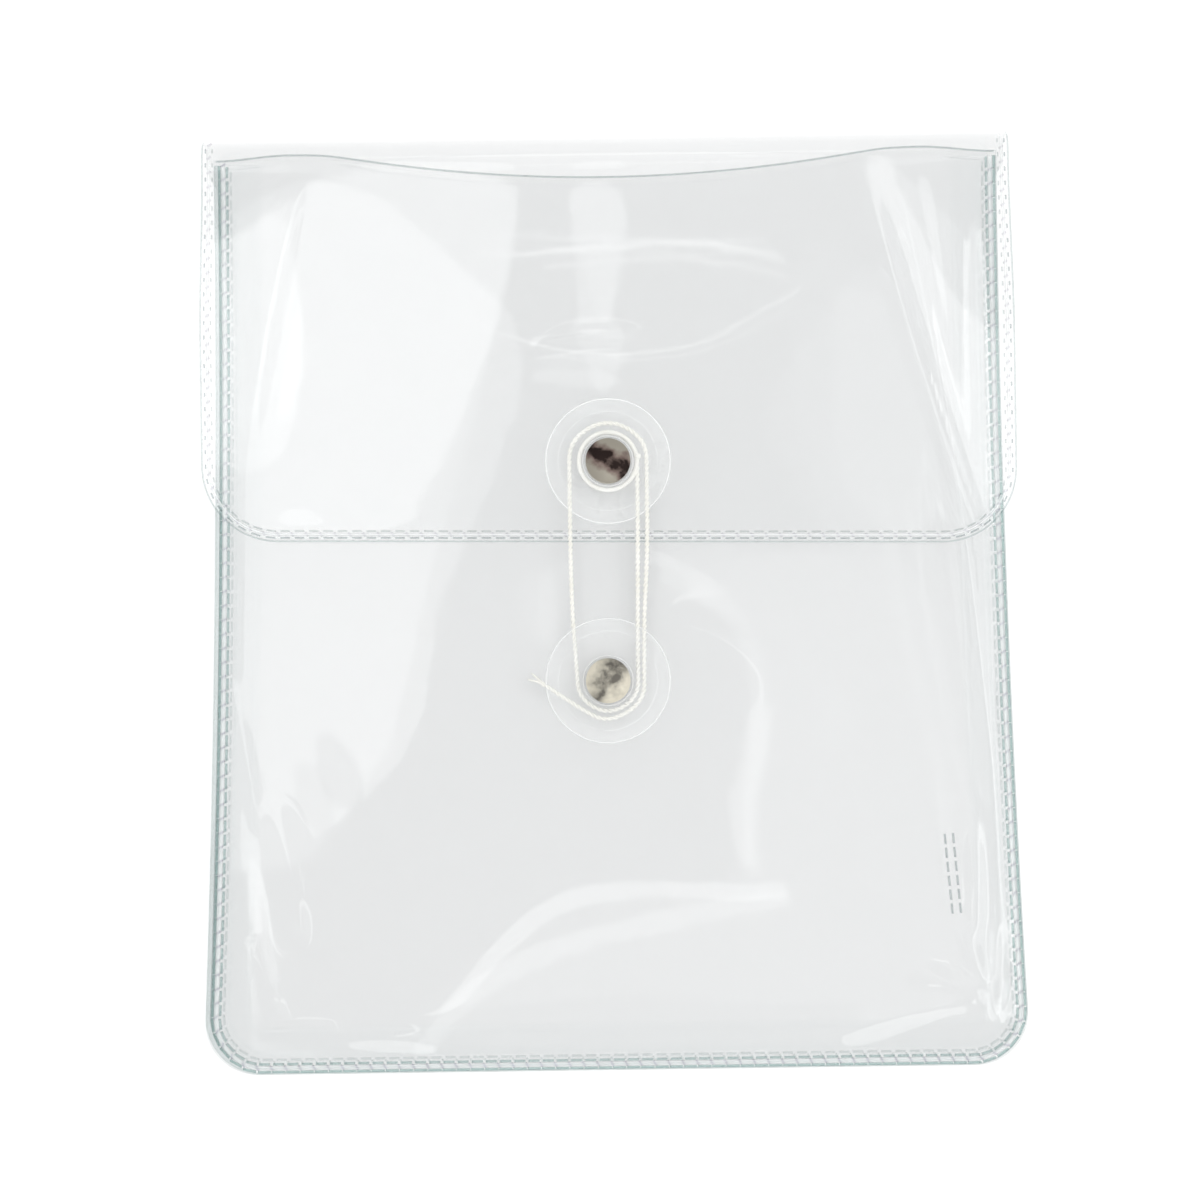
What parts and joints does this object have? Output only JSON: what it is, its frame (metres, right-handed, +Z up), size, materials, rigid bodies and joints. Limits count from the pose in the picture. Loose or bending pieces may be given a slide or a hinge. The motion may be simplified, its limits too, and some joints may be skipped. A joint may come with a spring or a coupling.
{
  "type": "portfolio case",
  "caption": "Clear vinyl envelope portfolio case with a pleated gusset, a fold-over flap and a string wound round two washer buttons.",
  "frame": {"origin": "under the middle of the case, on the surface that its back lies on", "axes": "+X across the case to the right, +Y from the bottom seam to the flap's fold, +Z up out of the back, towards the buttons"},
  "size_m": [0.1478, 0.168, 0.0111],
  "materials": {
    "clear_film": "clear glossy soft vinyl film with green-grey cut edges",
    "weld": "welded imitation stitches in clear vinyl",
    "clear_disc": "clear moulded plastic",
    "nickel": "polished dark nickel plate",
    "cotton_string": "off-white two-ply cotton string"
  },
  "bodies": {
    "pouch": {"back_panel": "clear_film", "gusset_back_leaf": "clear_film", "back_seam_weld": "weld", "flap_fold": "clear_film"},
    "front": {"front_panel": "clear_film", "gusset_front_leaf": "clear_film", "front_seam_weld": "weld", "pleat_tack_weld": "weld", "pouch_rivet_cap": "nickel", "pouch_rivet_base": "nickel"},
    "flap": {"flap_panel": "clear_film", "flap_edge_weld": "weld", "flap_rivet_cap": "nickel", "flap_rivet_base": "nickel", "closure_string": "cotton_string", "string_anchor_knot": "cotton_string"},
    "flap_washer": {"flap_button_disc": "clear_disc"},
    "pouch_washer": {"pouch_button_disc": "clear_disc"}
  },
  "joints": [
    {"name": "flap_hinge", "type": "hinge", "parent": "pouch", "child": "flap", "pos_m": [0, 0.0843, 0.00385], "axis": [-1, 0, 0], "range_deg": [0, 175], "deforming": ["flap_fold", "closure_string"]},
    {"name": "mouth_hinge", "type": "hinge", "parent": "pouch", "child": "front", "pos_m": [0, -0.0825, 0.0056], "axis": [1, 0, 0], "range_deg": [0, 3.5]},
    {"name": "flap_washer_spin", "type": "hinge", "parent": "flap", "child": "flap_washer", "pos_m": [-0.0002, 0.0253, 0.0077], "axis": [0, 0, 1], "continuous": true},
    {"name": "pouch_washer_spin", "type": "hinge", "parent": "front", "child": "pouch_washer", "pos_m": [-0.0007, -0.014, 0.0058], "axis": [0, 0, 1], "continuous": true}
  ],
  "couplings": [
    {"joint": "mouth_hinge", "follows": "flap_hinge", "ratio": 0.02}
  ]
}
